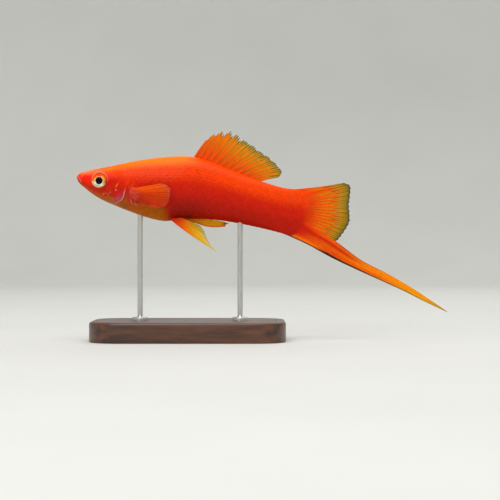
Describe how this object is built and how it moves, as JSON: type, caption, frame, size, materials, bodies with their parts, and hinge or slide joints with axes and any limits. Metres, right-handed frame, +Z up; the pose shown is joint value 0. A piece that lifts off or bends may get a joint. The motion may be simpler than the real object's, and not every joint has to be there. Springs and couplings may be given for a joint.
{
  "type": "swordtail fish model on a stand",
  "caption": "Life-size still model of a male red swordtail, nose up, on a flat wooden base with two short steel rods.",
  "frame": {"origin": "centre of the stand base's underside, on the surface that it stands on", "axes": "+X from the fish's head to its tail, +Y to the fish's right, away from the camera, +Z up"},
  "size_m": [0.1111, 0.034, 0.0631],
  "materials": {
    "fish_skin": "moist satin skin, orange red, fine scales",
    "fin_membrane": "thin translucent membrane over orange rays, yellow towards the margin",
    "eye": "wet gloss, black pupil in a pale gold iris",
    "dark_wood": "satin varnish",
    "brushed_steel": "fine brushed"
  },
  "bodies": {
    "root": {"head": "fish_skin", "torso": "fish_skin", "tail_stalk": "fish_skin", "eye_left": "eye", "eye_right": "eye", "dorsal_fin": "fin_membrane", "caudal_fin": "fin_membrane", "sword": "fin_membrane", "pectoral_fin_left": "fin_membrane", "pectoral_fin_right": "fin_membrane", "pelvic_fin_left": "fin_membrane", "pelvic_fin_right": "fin_membrane", "gonopodium": "fin_membrane", "stand_base": "dark_wood", "stand_rod_front": "brushed_steel", "stand_rod_rear": "brushed_steel"}
  },
  "joints": []
}
